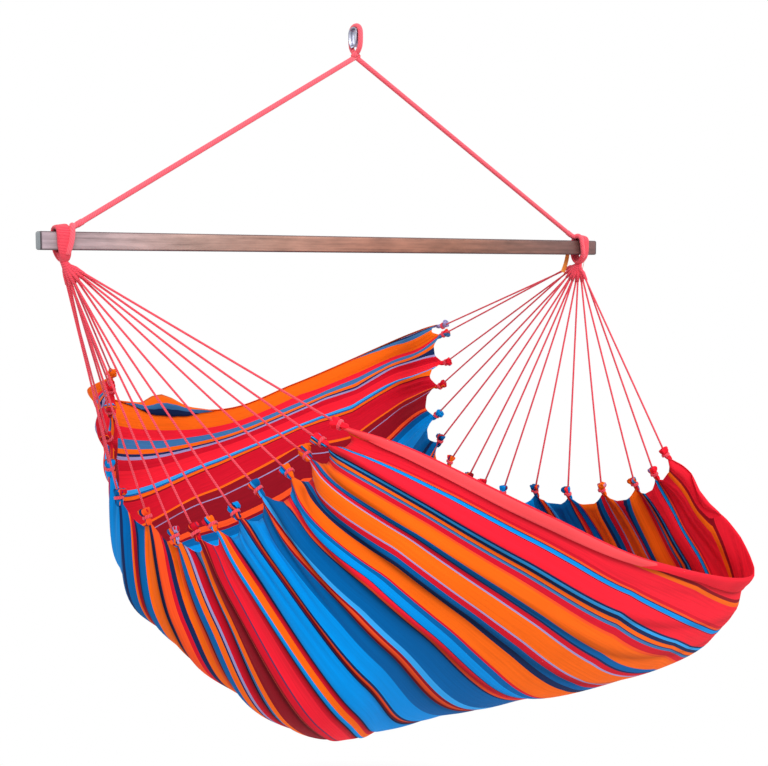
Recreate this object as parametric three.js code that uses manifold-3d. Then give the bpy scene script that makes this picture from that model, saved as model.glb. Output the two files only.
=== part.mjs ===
// Hammock chair: a hardwood spreader bar hung from one rope eye, with a striped cotton seat
// slung below it on two clews of sixteen cords each.
// Millimetres, +Z up, +X along the bar. The origin is the top inner bearing face of the
// metal thimble, where a ceiling hook carries the whole chair.

import * as THREE from 'three';
import { mergeVertices } from 'three/addons/utils/BufferGeometryUtils.js';
import { ConvexGeometry } from 'three/addons/geometries/ConvexGeometry.js';
import Module from 'manifold-3d';

const wasm = await Module();
wasm.setup();

// Clearance between solids that touch on the real chair, and the weld between facets
const CLEARANCE = 0.3;
const WELD_TOLERANCE = 0.0001;

// Heights below the hook
const THROAT_DROP = 57;
const BAR_DROP = 420;

// Spreader bar
const BAR_LENGTH = 1300;
const BAR_THICKNESS = 22;
const BAR_HEIGHT = 32;
const BAR_EDGE_RADIUS = 4;
const BAR_END_ROUND = 3;

// Suspension rope and its thimble
const ROPE_DIAMETER = 10;
const THROAT_BULGE = 1.1;
const THIMBLE_RADIUS = 10;
const THIMBLE_TAPER = THREE.MathUtils.degToRad(24);
const THIMBLE_WALL = 1.7;
const THIMBLE_WIDTH = 17;
const THIMBLE_END_GAP = 2;
const GROOVE_CLEARANCE = 0.6;

// Loops that hold rope and clews on the bar
const LOOP_INSET = 44;
const LOOP_WIDTH = 26;
const LOOP_THICKNESS = 8;
const LOOP_CROWN = 4;
const LOOP_ROUND = 2.5;

// Clews
const CORD_DIAMETER = 4;
const CORDS_PER_SIDE = 16;
const CLEW_BALL_RADIUS = 9;
const CLEW_REACH = 38;
const CLEW_STAGGER = 2.6;
const CORD_SEAT_RADIUS = 3;
const HITCH_RADIUS = 6.8;

// Seat cloth
const CLOTH_THICKNESS = 2;
const SEAT_HALF_SPAN = 600;
const SEAT_REACH = 500;
const SEAT_DROP = 1000;
const STRIPE_LENGTH = 1500;
const SCALLOP_DEPTH = 36;
const PLEAT_DEPTH = 18;
const TUFT_LENGTH = 15;
const TUFT_RADIUS = 6.5;
const TUFT_ROOT = 12;

// Label ribbon, bare
const RIBBON_THICKNESS = 0.8;
const RIBBON_WIDTH = 11;
const RIBBON_TAIL = 40;

const ROPE_RADIUS = ROPE_DIAMETER / 2;
const CORD_RADIUS = CORD_DIAMETER / 2;
const LOOP_X = BAR_LENGTH / 2 - LOOP_INSET;
const LOOP_FLOOR = -BAR_DROP - BAR_HEIGHT / 2 - CLEARANCE - LOOP_THICKNESS;
const PIVOT_Z = LOOP_FLOOR - CLEARANCE - CLEW_BALL_RADIUS;

const X_AXIS = new THREE.Vector3(1, 0, 0);
const Y_AXIS = new THREE.Vector3(0, 1, 0);
const Z_AXIS = new THREE.Vector3(0, 0, 1);

const COLOURS = {
  zinc: { color: 0xb9bcc8, roughness: 0.3, metalness: 1 },
  wood: { color: 0x7a5648, roughness: 0.45, metalness: 0 },
  rope: { color: 0xff5a66, roughness: 0.85, metalness: 0 },
  cord: { color: 0xd8475a, roughness: 0.85, metalness: 0 },
  cloth: { color: 0xd23a3a, roughness: 0.9, metalness: 0 },
  ribbon: { color: 0xf0a040, roughness: 0.6, metalness: 0 },
};

function piece(name, geometry, finish) {
  const mesh = new THREE.Mesh(geometry, new THREE.MeshStandardMaterial(COLOURS[finish]));
  mesh.name = name;
  return mesh;
}

// Closed meshes to solids and back

function toSolid(geometry) {
  const bare = geometry.index ? geometry.clone() : geometry;
  bare.deleteAttribute('normal');
  bare.deleteAttribute('uv');
  const merged = mergeVertices(bare, WELD_TOLERANCE);
  return new wasm.Manifold(new wasm.Mesh({
    numProp: 3,
    vertProperties: new Float32Array(merged.attributes.position.array),
    triVerts: new Uint32Array(merged.index.array),
  }));
}

function toGeometry(solid) {
  const mesh = solid.getMesh();
  const geometry = new THREE.BufferGeometry();
  geometry.setAttribute('position', new THREE.BufferAttribute(mesh.vertProperties, 3));
  geometry.setIndex(new THREE.BufferAttribute(mesh.triVerts, 1));
  geometry.computeVertexNormals();
  return geometry;
}

function join(geometries) {
  const solids = geometries.map(toSolid);
  return toGeometry(solids.reduce((whole, next) => whole.add(next)));
}

// A round rope along hand-set stations, each station one ring of the extrusion

class StationCurve extends THREE.Curve {
  constructor(stations) {
    super();
    this.stations = stations;
  }

  getPoint(t) {
    const place = t * (this.stations.length - 1);
    const low = Math.min(Math.floor(place), this.stations.length - 2);
    return this.stations[low].clone().lerp(this.stations[low + 1], place - low);
  }

  getPointAt(t) {
    return this.getPoint(t);
  }

  getTangentAt(t) {
    const last = this.stations.length - 1;
    const near = Math.round(t * last);
    const before = this.stations[Math.max(near - 1, 0)];
    const after = this.stations[Math.min(near + 1, last)];
    return after.clone().sub(before).normalize();
  }
}

function roundSection(radius, sides) {
  const corners = [];
  for (let side = 0; side < sides; side += 1) {
    const angle = (side / sides) * 2 * Math.PI;
    corners.push(new THREE.Vector2(radius * Math.cos(angle), radius * Math.sin(angle)));
  }
  return new THREE.Shape(corners);
}

function sweep(section, stations) {
  return new THREE.ExtrudeGeometry(section, {
    steps: stations.length - 1,
    extrudePath: new StationCurve(stations),
  });
}

function rope(stations, radius) {
  return sweep(roundSection(radius, 8), stations);
}

// A rounded rectangle in its own plane, and the turn that lays its extrusion along X

function roundedRectangle(path, left, right, bottom, top, radius) {
  path.moveTo(left + radius, bottom);
  path.lineTo(right - radius, bottom);
  path.absarc(right - radius, bottom + radius, radius, -Math.PI / 2, 0);
  path.lineTo(right, top - radius);
  path.absarc(right - radius, top - radius, radius, 0, Math.PI / 2);
  path.lineTo(left + radius, top);
  path.absarc(left + radius, top - radius, radius, Math.PI / 2, Math.PI);
  path.lineTo(left, bottom + radius);
  path.absarc(left + radius, bottom + radius, radius, Math.PI, 1.5 * Math.PI);
  return path;
}

function extrudeAlongX(shape, length, round) {
  const geometry = new THREE.ExtrudeGeometry(shape, {
    depth: length - 2 * round,
    bevelEnabled: true,
    bevelThickness: round,
    bevelSize: round,
    bevelOffset: -round,
    bevelSegments: 2,
    curveSegments: 3,
  });
  geometry.translate(0, 0, round - length / 2);
  geometry.applyMatrix4(new THREE.Matrix4().makeBasis(Y_AXIS, Z_AXIS, X_AXIS));
  return geometry;
}

// Thimble: a grooved zinc strip bent into a teardrop, its plane square to the bar

const ROPE_SEAT = THIMBLE_WALL + GROOVE_CLEARANCE + ROPE_RADIUS;

function inEyePlane(centreOffset, angle) {
  const reach = THIMBLE_RADIUS + centreOffset;
  return new THREE.Vector3(0, reach * Math.cos(angle), reach * Math.sin(angle) - THIMBLE_RADIUS);
}

function straightSide(centreOffset, halfGap, sign) {
  const point = inEyePlane(centreOffset, sign > 0 ? -THIMBLE_TAPER : Math.PI + THIMBLE_TAPER);
  const run = (Math.abs(point.y) - halfGap) / Math.sin(THIMBLE_TAPER);
  point.y = sign * halfGap;
  point.z -= run * Math.cos(THIMBLE_TAPER);
  return point;
}

function eyeStations(centreOffset, halfGap) {
  const arcSteps = 12;
  const stations = [straightSide(centreOffset, halfGap, -1)];
  for (let step = arcSteps; step >= 0; step -= 1) {
    const angle = -THIMBLE_TAPER + (step / arcSteps) * (Math.PI + 2 * THIMBLE_TAPER);
    stations.push(inEyePlane(centreOffset, angle));
  }
  stations.push(straightSide(centreOffset, halfGap, 1));
  return stations;
}

function thimble() {
  const groove = ROPE_RADIUS + GROOVE_CLEARANCE;
  const half = THIMBLE_WIDTH / 2;
  const diagonal = groove * Math.SQRT1_2;
  const section = [
    [-half, ROPE_SEAT], [-half + THIMBLE_WALL, ROPE_SEAT - diagonal], [0, 0],
    [half - THIMBLE_WALL, ROPE_SEAT - diagonal], [half, ROPE_SEAT],
    [groove, ROPE_SEAT], [diagonal, ROPE_SEAT - diagonal], [0, ROPE_SEAT - groove],
    [-diagonal, ROPE_SEAT - diagonal], [-groove, ROPE_SEAT],
  ];
  const shape = new THREE.Shape(section.map(([side, rise]) => new THREE.Vector2(side, rise)));
  return piece('thimble', sweep(shape, eyeStations(0, THIMBLE_END_GAP / 2)), 'zinc');
}

// Rope eye: the suspension rope laid round the thimble, its two parts twisted at the throat

const STRAND_OFFSET = ROPE_RADIUS + CLEARANCE;
const EYE_FOOT_Z = -THROAT_DROP + ROPE_RADIUS + CLEARANCE;

function throatTwist(topZ, turnStart) {
  const steps = 6;
  const stations = [];
  for (let step = 0; step < steps; step += 1) {
    const share = step / steps;
    const turned = turnStart + (Math.max(step - 1, 0) / (steps - 1)) * (Math.PI / 2);
    const offset = STRAND_OFFSET + THROAT_BULGE * Math.sin(Math.PI * share);
    stations.push(new THREE.Vector3(
      offset * Math.cos(turned),
      offset * Math.sin(turned),
      THREE.MathUtils.lerp(EYE_FOOT_Z, topZ, share),
    ));
  }
  return stations;
}

function ropeEye() {
  const around = eyeStations(ROPE_SEAT, STRAND_OFFSET);
  const topZ = around[0].z;
  const rising = throatTwist(topZ, Math.PI);
  const falling = throatTwist(topZ, 0).reverse();
  return piece('rope_eye', rope([...rising, ...around, ...falling], ROPE_RADIUS), 'rope');
}

// Suspension legs: one part of the rope to each end of the bar, from a round heel at the throat

function legRope(name, side) {
  const heel = new THREE.Vector3(side * STRAND_OFFSET, 0, -THROAT_DROP);
  const restZ = -BAR_DROP + BAR_HEIGHT / 2 + CLEARANCE + ROPE_RADIUS;
  const end = new THREE.Vector3(side * (LOOP_X - LOOP_WIDTH / 2), 0, restZ);
  const along = end.clone().sub(heel).normalize();
  const setback = (CLEARANCE + ROPE_RADIUS * Math.abs(along.z)) / Math.abs(along.x);
  end.addScaledVector(along, -setback);
  const middle = heel.clone().lerp(end, 0.5);
  const round = new THREE.SphereGeometry(ROPE_RADIUS, 8, 6);
  round.translate(heel.x, heel.y, heel.z);
  return piece(name, join([round, rope([heel, middle, end], ROPE_RADIUS)]), 'rope');
}

// Spreader bar

function spreaderBar() {
  const halfWidth = BAR_THICKNESS / 2;
  const halfHeight = BAR_HEIGHT / 2;
  const outline = roundedRectangle(
    new THREE.Shape(), -halfWidth, halfWidth, -halfHeight, halfHeight, BAR_EDGE_RADIUS,
  );
  const bar = piece('spreader_bar', extrudeAlongX(outline, BAR_LENGTH, BAR_END_ROUND), 'wood');
  bar.position.set(0, 0, -BAR_DROP);
  return bar;
}

// Bar loops: the whipped rope loops that grip each end of the bar

function barLoop(name, side) {
  const innerWidth = BAR_THICKNESS / 2 + CLEARANCE;
  const innerHeight = BAR_HEIGHT / 2 + CLEARANCE;
  const outerWidth = innerWidth + LOOP_THICKNESS;
  const outerHeight = innerHeight + LOOP_THICKNESS;
  const innerRadius = BAR_EDGE_RADIUS + CLEARANCE;
  const outline = roundedRectangle(
    new THREE.Shape(), -outerWidth, outerWidth, -outerHeight, outerHeight + LOOP_CROWN,
    innerRadius + LOOP_THICKNESS,
  );
  outline.holes.push(roundedRectangle(
    new THREE.Path(), -innerWidth, innerWidth, -innerHeight, innerHeight, innerRadius,
  ));
  const loop = piece(name, extrudeAlongX(outline, LOOP_WIDTH, LOOP_ROUND), 'rope');
  loop.position.set(side * LOOP_X, 0, -BAR_DROP);
  return loop;
}

// Where the seat hangs, as shares of its half span, its reach and its drop below the bar.
// Knots run from the front edge to the back edge; each row of the cloth runs left to right.

const LEFT_KNOT_SHARES = [
  [-0.385, -0.60, 0.315], [-0.425, -0.56, 0.345], [-0.455, -0.52, 0.37], [-0.495, -0.48, 0.40],
  [-0.57, -0.42, 0.43], [-0.61, -0.34, 0.475], [-0.65, -0.26, 0.50], [-0.675, -0.18, 0.52],
  [-0.695, -0.06, 0.535], [-0.725, 0.10, 0.51], [-0.755, 0.28, 0.485], [-0.73, 0.44, 0.44],
  [-0.685, 0.58, 0.39], [-0.645, 0.68, 0.34], [-0.61, 0.76, 0.30], [-0.585, 0.82, 0.27],
];
const RIGHT_KNOT_SHARES = [
  [0.96, -0.60, 0.435], [0.995, -0.50, 0.485], [1.00, -0.38, 0.515], [0.95, -0.24, 0.535],
  [0.89, -0.10, 0.55], [0.83, 0.04, 0.55], [0.77, 0.18, 0.56], [0.74, 0.28, 0.55],
  [0.73, 0.38, 0.54], [0.705, 0.48, 0.505], [0.72, 0.58, 0.46], [0.765, 0.68, 0.405],
  [0.845, 0.78, 0.34], [0.925, 0.86, 0.285], [0.95, 0.92, 0.215], [0.985, 0.98, 0.195],
];
const CLOTH_ROW_SHARES = [
  [[-0.30, -0.895, 0.345], [0.07, -1.06, 0.465], [0.58, -0.985, 0.595], [1.305, -0.74, 0.70],
    [1.11, -0.615, 0.50]],
  [[-0.505, -0.84, 0.425], [-0.12, -0.995, 0.605], [0.515, -0.855, 0.815], [1.295, -0.525, 0.86],
    [1.135, -0.42, 0.655]],
  [[-0.58, -0.72, 0.525], [-0.36, -0.82, 0.695], [0.125, -0.565, 0.885], [1.165, -0.15, 0.875],
    [1.045, -0.105, 0.685]],
  [[-0.665, -0.54, 0.575], [-0.42, -0.685, 0.82], [0.075, -0.095, 0.97], [0.88, 0.10, 0.83],
    [0.84, 0.14, 0.67]],
  [[-0.68, -0.31, 0.67], [-0.495, -0.295, 0.86], [0.02, 0.14, 0.96], [0.68, 0.30, 0.79],
    [0.725, 0.34, 0.64]],
  [[-0.775, 0.095, 0.67], [-0.525, 0.28, 0.735], [0.01, 0.52, 0.77], [0.555, 0.675, 0.63],
    [0.665, 0.615, 0.525]],
  [[-0.59, 0.76, 0.575], [-0.145, 1.02, 0.545], [0.37, 1.13, 0.485], [0.735, 1.06, 0.39],
    [0.805, 0.88, 0.355]],
  [[-0.58, 1.05, 0.325], [0.01, 1.255, 0.39], [0.43, 1.365, 0.345], [0.82, 1.23, 0.25],
    [0.915, 1.06, 0.21]],
];
const LAST_KNOT = CORDS_PER_SIDE - 1;

function place([acrossShare, deepShare, downShare]) {
  return new THREE.Vector3(
    acrossShare * SEAT_HALF_SPAN, deepShare * SEAT_REACH, -BAR_DROP - downShare * SEAT_DROP,
  );
}

const LEFT_KNOTS = LEFT_KNOT_SHARES.map(place);
const RIGHT_KNOTS = RIGHT_KNOT_SHARES.map(place);
const leftEdge = new THREE.CatmullRomCurve3(LEFT_KNOTS, false, 'catmullrom', 0.5);
const rightEdge = new THREE.CatmullRomCurve3(RIGHT_KNOTS, false, 'catmullrom', 0.5);
const acrossCurves = CLOTH_ROW_SHARES[0].map((_, column) => new THREE.CatmullRomCurve3(
  CLOTH_ROW_SHARES.map((row) => place(row[column])), false, 'catmullrom', 0.5,
));

// The rows stand two knots apart, and the last one three knots past its neighbour

function rowShare(knot) {
  const lastRow = CLOTH_ROW_SHARES.length - 1;
  const turn = 2 * (lastRow - 1);
  const row = knot <= turn ? knot / 2 : lastRow - 1 + (knot - turn) / (LAST_KNOT - turn);
  return row / lastRow;
}

function stripe(knot) {
  const share = knot / LAST_KNOT;
  const inner = acrossCurves.map((curve) => curve.getPoint(rowShare(knot)));
  const points = [leftEdge.getPoint(share), ...inner, rightEdge.getPoint(share)];
  return new THREE.CatmullRomCurve3(points, false, 'catmullrom', 0.5);
}

// A point of the hung cloth: scalloped ends between the knots, pleats that fade inwards

function bareCloth(along, knot) {
  const between = Math.sin(Math.PI * knot) ** 2;
  const trim = (TUFT_ROOT + between * SCALLOP_DEPTH) / STRIPE_LENGTH;
  return stripe(knot).getPointAt(trim + along * (1 - 2 * trim));
}

function clothNormal(along, knot) {
  const stepShare = 0.01;
  const left = bareCloth(Math.max(along - stepShare, 0), knot);
  const right = bareCloth(Math.min(along + stepShare, 1), knot);
  const nearRow = bareCloth(along, Math.max(knot - stepShare, 0));
  const farRow = bareCloth(along, Math.min(knot + stepShare, LAST_KNOT));
  return right.sub(left).cross(farRow.sub(nearRow)).normalize();
}

function clothPoint(along, knot, lift) {
  const between = Math.sin(Math.PI * knot) ** 2;
  const fade = 0.25 + 0.75 * (2 * along - 1) ** 4;
  const normal = clothNormal(along, Math.round(knot * 2) / 2);
  return bareCloth(along, knot).addScaledVector(normal, lift + PLEAT_DEPTH * fade * between);
}

// A clew: its row of knots, the hinge point that it hangs from, and the end of the cloth it holds

const LEFT_CLEW = {
  knots: LEFT_KNOTS,
  pivot: new THREE.Vector3(-LOOP_X, 0, PIVOT_Z),
  end: 0,
};
const RIGHT_CLEW = {
  knots: RIGHT_KNOTS,
  pivot: new THREE.Vector3(LOOP_X, 0, PIVOT_Z),
  end: 1,
};

// Directions at a knot: up between cloth and cord, out of the cloth's face, onward to the next
// knot, and aside to where the cord passes the gathered tuft

function knotFrame({ knots, pivot, end }, knot) {
  const cordWay = pivot.clone().sub(knots[knot]).normalize();
  const up = knots[knot].clone().sub(bareCloth(end, knot)).normalize().add(cordWay).normalize();
  const out = clothNormal(end, knot).projectOnPlane(up).normalize();
  const onward = out.clone().cross(up).multiplyScalar(end === 0 ? -1 : 1);
  const aside = cordWay.projectOnPlane(up);
  const passShare = aside.dot(out) < 0 ? -0.2 : 0.2;
  aside.addScaledVector(out, passShare).normalize();
  return { up, out, onward, aside };
}

// Seat cloth: one sheet, its facets set on each knot and halfway between, gathered to a neck
// at every knot and flaring beyond the cord's hitch

const ALONG_SHARES = [0, 0.04, 0.10, 0.19, 0.31, 0.44, 0.56, 0.69, 0.81, 0.90, 0.96, 1];
const NECK_RADIUS = HITCH_RADIUS - CORD_RADIUS - 2 * CLEARANCE;

function tuftRings(clew, knot) {
  const { up, out, onward, aside } = knotFrame(clew, knot);
  const root = bareCloth(clew.end, knot);
  const point = clew.knots[knot];
  const passing = CORD_RADIUS + CLEARANCE;
  const lean = HITCH_RADIUS - CORD_RADIUS - 3 * CLEARANCE - TUFT_RADIUS;
  const ring = (centre, radius) => [[1, 0], [0, 1], [-1, 0], [0, -1]].map(([face, next]) => (
    centre.clone().addScaledVector(out, face * radius).addScaledVector(onward, next * radius)
  ));
  return [
    ring(root, NECK_RADIUS),
    ring(point.clone().addScaledVector(up, -passing), NECK_RADIUS),
    ring(point.clone().addScaledVector(up, passing), NECK_RADIUS),
    ring(point.clone().addScaledVector(up, TUFT_LENGTH).addScaledVector(aside, lean), TUFT_RADIUS),
  ];
}

function seatCloth() {
  const columns = 2 * LAST_KNOT + 1;
  const rows = ALONG_SHARES.length;
  const positions = [];
  const faces = [];
  const at = (face, row, column) => (face * rows + row) * columns + column;
  const add = (point) => positions.push(...point.toArray()) / 3 - 1;
  const quad = (a, b, c, d) => faces.push(a, b, c, a, c, d);

  for (const lift of [CLOTH_THICKNESS / 2, -CLOTH_THICKNESS / 2]) {
    for (const along of ALONG_SHARES) {
      for (let column = 0; column < columns; column += 1) {
        add(clothPoint(along, column / 2, lift));
      }
    }
  }
  for (let row = 0; row + 1 < rows; row += 1) {
    const last = columns - 1;
    for (let column = 0; column < last; column += 1) {
      const [here, next] = [column, column + 1];
      quad(at(0, row, here), at(0, row + 1, here), at(0, row + 1, next), at(0, row, next));
      quad(at(1, row, here), at(1, row, next), at(1, row + 1, next), at(1, row + 1, here));
    }
    quad(at(0, row, 0), at(1, row, 0), at(1, row + 1, 0), at(0, row + 1, 0));
    quad(at(0, row, last), at(0, row + 1, last), at(1, row + 1, last), at(1, row, last));
  }

  for (const clew of [LEFT_CLEW, RIGHT_CLEW]) {
    const row = clew.end * (rows - 1);
    const face = (a, b, c) => faces.push(...(clew.end === 0 ? [a, b, c] : [c, b, a]));
    for (let knot = 0; knot < CORDS_PER_SIDE; knot += 1) {
      const [root, ...rings] = tuftRings(clew, knot);
      const top = at(0, row, 2 * knot);
      const bottom = at(1, row, 2 * knot);
      root[0].toArray(positions, 3 * top);
      root[2].toArray(positions, 3 * bottom);
      const ahead = add(root[1]);
      const behind = add(root[3]);
      if (knot > 0) {
        const [above, below] = [at(0, row, 2 * knot - 1), at(1, row, 2 * knot - 1)];
        face(behind, bottom, below);
        face(behind, below, above);
        face(behind, above, top);
      } else {
        face(behind, bottom, top);
      }
      if (knot < LAST_KNOT) {
        const [above, below] = [at(0, row, 2 * knot + 1), at(1, row, 2 * knot + 1)];
        face(ahead, top, above);
        face(ahead, above, below);
        face(ahead, below, bottom);
      } else {
        face(ahead, top, bottom);
      }
      let inner = [top, ahead, bottom, behind];
      for (const ring of rings) {
        const outer = ring.map(add);
        inner.forEach((corner, index) => {
          const next = (index + 1) % inner.length;
          face(corner, inner[next], outer[next]);
          face(corner, outer[next], outer[index]);
        });
        inner = outer;
      }
      face(inner[0], inner[1], inner[2]);
      face(inner[0], inner[2], inner[3]);
    }
  }

  const geometry = new THREE.BufferGeometry();
  geometry.setAttribute('position', new THREE.Float32BufferAttribute(positions, 3));
  geometry.setIndex(faces);
  geometry.computeVertexNormals();
  return piece('seat_cloth', geometry, 'cloth');
}

// Clew head: the cords gathered under the bar loop, round above and fanned out below

function cordDirection({ knots, pivot }, knot) {
  return knots[knot].clone().sub(pivot).normalize();
}

function cordStart(clew, knot) {
  const here = cordDirection(clew, knot);
  const before = cordDirection(clew, Math.max(knot - 1, 0));
  const after = cordDirection(clew, Math.min(knot + 1, LAST_KNOT));
  const side = after.sub(before).cross(here).normalize();
  const rowSide = knot % 2 === 0 ? 1 : -1;
  return here.multiplyScalar(CLEW_REACH).addScaledVector(side, rowSide * CLEW_STAGGER).normalize();
}

function clewHead(name, clew) {
  const ball = new THREE.SphereGeometry(CLEW_BALL_RADIUS, 8, 6);
  const corners = [];
  for (let vertex = 0; vertex < ball.attributes.position.count; vertex += 1) {
    const point = new THREE.Vector3().fromBufferAttribute(ball.attributes.position, vertex);
    corners.push(point.add(clew.pivot));
  }
  const seatDepth = Math.sqrt(CLEW_REACH ** 2 - CORD_SEAT_RADIUS ** 2);
  for (let knot = 0; knot < CORDS_PER_SIDE; knot += 1) {
    const along = cordStart(clew, knot);
    const first = new THREE.Vector3().crossVectors(along, X_AXIS).normalize();
    const second = new THREE.Vector3().crossVectors(along, first);
    corners.push(clew.pivot.clone().addScaledVector(along, CLEW_REACH));
    for (const [one, other] of [[1, 0], [0, 1], [-1, 0], [0, -1]]) {
      corners.push(clew.pivot.clone().addScaledVector(along, seatDepth)
        .addScaledVector(first, one * CORD_SEAT_RADIUS)
        .addScaledVector(second, other * CORD_SEAT_RADIUS));
    }
  }
  return piece(name, toGeometry(toSolid(new ConvexGeometry(corners))), 'cord');
}

// Clew cords: each runs taut from the head to a knot and is hitched round the gathered cloth

function clewCord(name, clew, knot) {
  const { up, aside } = knotFrame(clew, knot);
  const point = clew.knots[knot];
  const start = clew.pivot.clone()
    .addScaledVector(cordStart(clew, knot), CLEW_REACH + CLEARANCE);
  const end = point.clone().addScaledVector(aside, HITCH_RADIUS);
  end.addScaledVector(up, -CORD_RADIUS / 2);
  const hitch = new THREE.TorusGeometry(HITCH_RADIUS, CORD_RADIUS, 5, 8);
  hitch.applyQuaternion(new THREE.Quaternion().setFromUnitVectors(Z_AXIS, up));
  hitch.translate(point.x, point.y, point.z);
  return piece(name, join([rope([start, end], CORD_RADIUS), hitch]), 'cord');
}

// Label ribbon: a bare folded strip on the back of the right bar loop, with two hanging tails

function labelRibbon() {
  const half = LOOP_WIDTH / 2 + RIBBON_WIDTH;
  const top = LOOP_FLOOR + RIBBON_WIDTH + LOOP_ROUND;
  const fold = top - RIBBON_WIDTH;
  const foot = fold - RIBBON_TAIL;
  const drift = RIBBON_WIDTH;
  const outline = new THREE.Shape([
    new THREE.Vector2(-half - drift, foot), new THREE.Vector2(-half - drift + RIBBON_WIDTH, foot),
    new THREE.Vector2(-half + RIBBON_WIDTH, fold), new THREE.Vector2(half - RIBBON_WIDTH, fold),
    new THREE.Vector2(half - RIBBON_WIDTH, foot), new THREE.Vector2(half, foot),
    new THREE.Vector2(half, top), new THREE.Vector2(-half, top),
  ]);
  const geometry = new THREE.ExtrudeGeometry(outline, { depth: RIBBON_THICKNESS, bevelEnabled: false });
  geometry.rotateX(Math.PI / 2);
  const ribbon = piece('label_ribbon', geometry, 'ribbon');
  const behind = BAR_THICKNESS / 2 + 2 * CLEARANCE + LOOP_THICKNESS + RIBBON_THICKNESS;
  ribbon.position.set(LOOP_X, behind, 0);
  return ribbon;
}

// The assembly, as it comes apart: hanger, bar and seat

function hanger() {
  return new THREE.Group().add(thimble(), ropeEye());
}

function barGroup() {
  return new THREE.Group().add(
    spreaderBar(),
    legRope('left_leg_rope', -1),
    legRope('right_leg_rope', 1),
    barLoop('left_bar_loop', -1),
    barLoop('right_bar_loop', 1),
    labelRibbon(),
  );
}

function seatGroup() {
  const group = new THREE.Group();
  group.add(clewHead('left_clew_head', LEFT_CLEW), clewHead('right_clew_head', RIGHT_CLEW));
  for (let knot = 0; knot < CORDS_PER_SIDE; knot += 1) {
    const number = String(knot + 1).padStart(2, '0');
    group.add(clewCord(`left_cord_${number}`, LEFT_CLEW, knot));
    group.add(clewCord(`right_cord_${number}`, RIGHT_CLEW, knot));
  }
  return group.add(seatCloth());
}

const chair = new THREE.Group();
chair.name = 'hammock_chair';
chair.add(hanger(), barGroup(), seatGroup());

export default chair;
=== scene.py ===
# Hammock chair: the dressed scene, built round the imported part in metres, part by part.
# The origin is the top bearing face of the thimble, +X runs along the spreader bar, +Z is up.
import math
import bmesh
import bpy
import numpy as np
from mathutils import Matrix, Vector


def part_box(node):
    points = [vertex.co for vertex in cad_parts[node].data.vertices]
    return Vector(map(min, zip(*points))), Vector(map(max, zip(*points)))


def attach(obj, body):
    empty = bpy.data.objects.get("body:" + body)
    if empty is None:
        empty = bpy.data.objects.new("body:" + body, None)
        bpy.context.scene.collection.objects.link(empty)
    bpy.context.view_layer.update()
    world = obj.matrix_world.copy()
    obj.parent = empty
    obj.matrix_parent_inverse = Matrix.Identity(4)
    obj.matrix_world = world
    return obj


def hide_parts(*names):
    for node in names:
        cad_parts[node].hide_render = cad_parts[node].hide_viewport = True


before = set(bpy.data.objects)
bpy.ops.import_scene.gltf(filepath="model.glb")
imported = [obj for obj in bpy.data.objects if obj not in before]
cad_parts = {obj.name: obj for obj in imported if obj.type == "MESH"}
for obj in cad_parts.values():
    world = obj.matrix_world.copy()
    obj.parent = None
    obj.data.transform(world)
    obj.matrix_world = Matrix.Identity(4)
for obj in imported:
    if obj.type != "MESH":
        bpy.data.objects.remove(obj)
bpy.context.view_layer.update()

# Camera: stands to the left of the chair, a little below the bar, and looks slightly down.
# Its place and lens are solved from the bar's ends, the eye and the two clews.
camera = bpy.data.objects.new("camera", bpy.data.cameras.new("camera"))
bpy.context.collection.objects.link(camera)
camera.data.sensor_width = 36
camera.data.lens = 58.95
camera.location = (-1.388, -2.109, -0.469)
camera.rotation_mode = "QUATERNION"
camera.rotation_quaternion = Vector((0.566, 0.820, -0.090)).to_track_quat("-Z", "Y")
camera.data.clip_start, camera.data.clip_end = 0.05, 60
bpy.context.scene.camera = camera
bpy.context.scene.view_settings.view_transform = "Standard"

# Clew cords: sixteen twisted cotton cords a side, 4 mm thick, salmon red. Each runs taut from the
# clew head under the bar to one knot in the end of the cloth, where it is hitched on.
mm = 0.001
CORD_RADIUS, CORD_SIDES, CORD_LAY = 2 * mm, 8, 14 * mm
SEAT_HALF_SPAN, SEAT_REACH, SEAT_DROP, BAR_DROP = 0.600, 0.500, 1.000, 0.420
CLEW_X, CLEW_Z = 0.606, -0.4536
# The cords leave the head 38 mm from the clew, in two rows that lie 2.6 mm off its middle.
CLEW_REACH, CORD_STAGGER = 38 * mm, 2.6 * mm
# Each begins inside the head and ends 5 mm short of its knot, inside the hitch.
CORD_ROOT_SHARE, CORD_END_GAP, CORD_SPANS = 0.35, 5 * mm, 12
# The knots from the front edge to the back edge: across, deep and down, as shares of the seat.
LEFT_KNOT_SHARES = [
    (-0.385, -0.60, 0.315), (-0.425, -0.56, 0.345), (-0.455, -0.52, 0.37), (-0.495, -0.48, 0.40),
    (-0.57, -0.42, 0.43), (-0.61, -0.34, 0.475), (-0.65, -0.26, 0.50), (-0.675, -0.18, 0.52),
    (-0.695, -0.06, 0.535), (-0.725, 0.10, 0.51), (-0.755, 0.28, 0.485), (-0.73, 0.44, 0.44),
    (-0.685, 0.58, 0.39), (-0.645, 0.68, 0.34), (-0.61, 0.76, 0.30), (-0.585, 0.82, 0.27),
]
RIGHT_KNOT_SHARES = [
    (0.96, -0.60, 0.435), (0.995, -0.50, 0.485), (1.00, -0.38, 0.515), (0.95, -0.24, 0.535),
    (0.89, -0.10, 0.55), (0.83, 0.04, 0.55), (0.77, 0.18, 0.56), (0.74, 0.28, 0.55),
    (0.73, 0.38, 0.54), (0.705, 0.48, 0.505), (0.72, 0.58, 0.46), (0.765, 0.68, 0.405),
    (0.845, 0.78, 0.34), (0.925, 0.86, 0.285), (0.95, 0.92, 0.215), (0.985, 0.98, 0.195),
]
LAST_KNOT = len(LEFT_KNOT_SHARES) - 1


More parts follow.
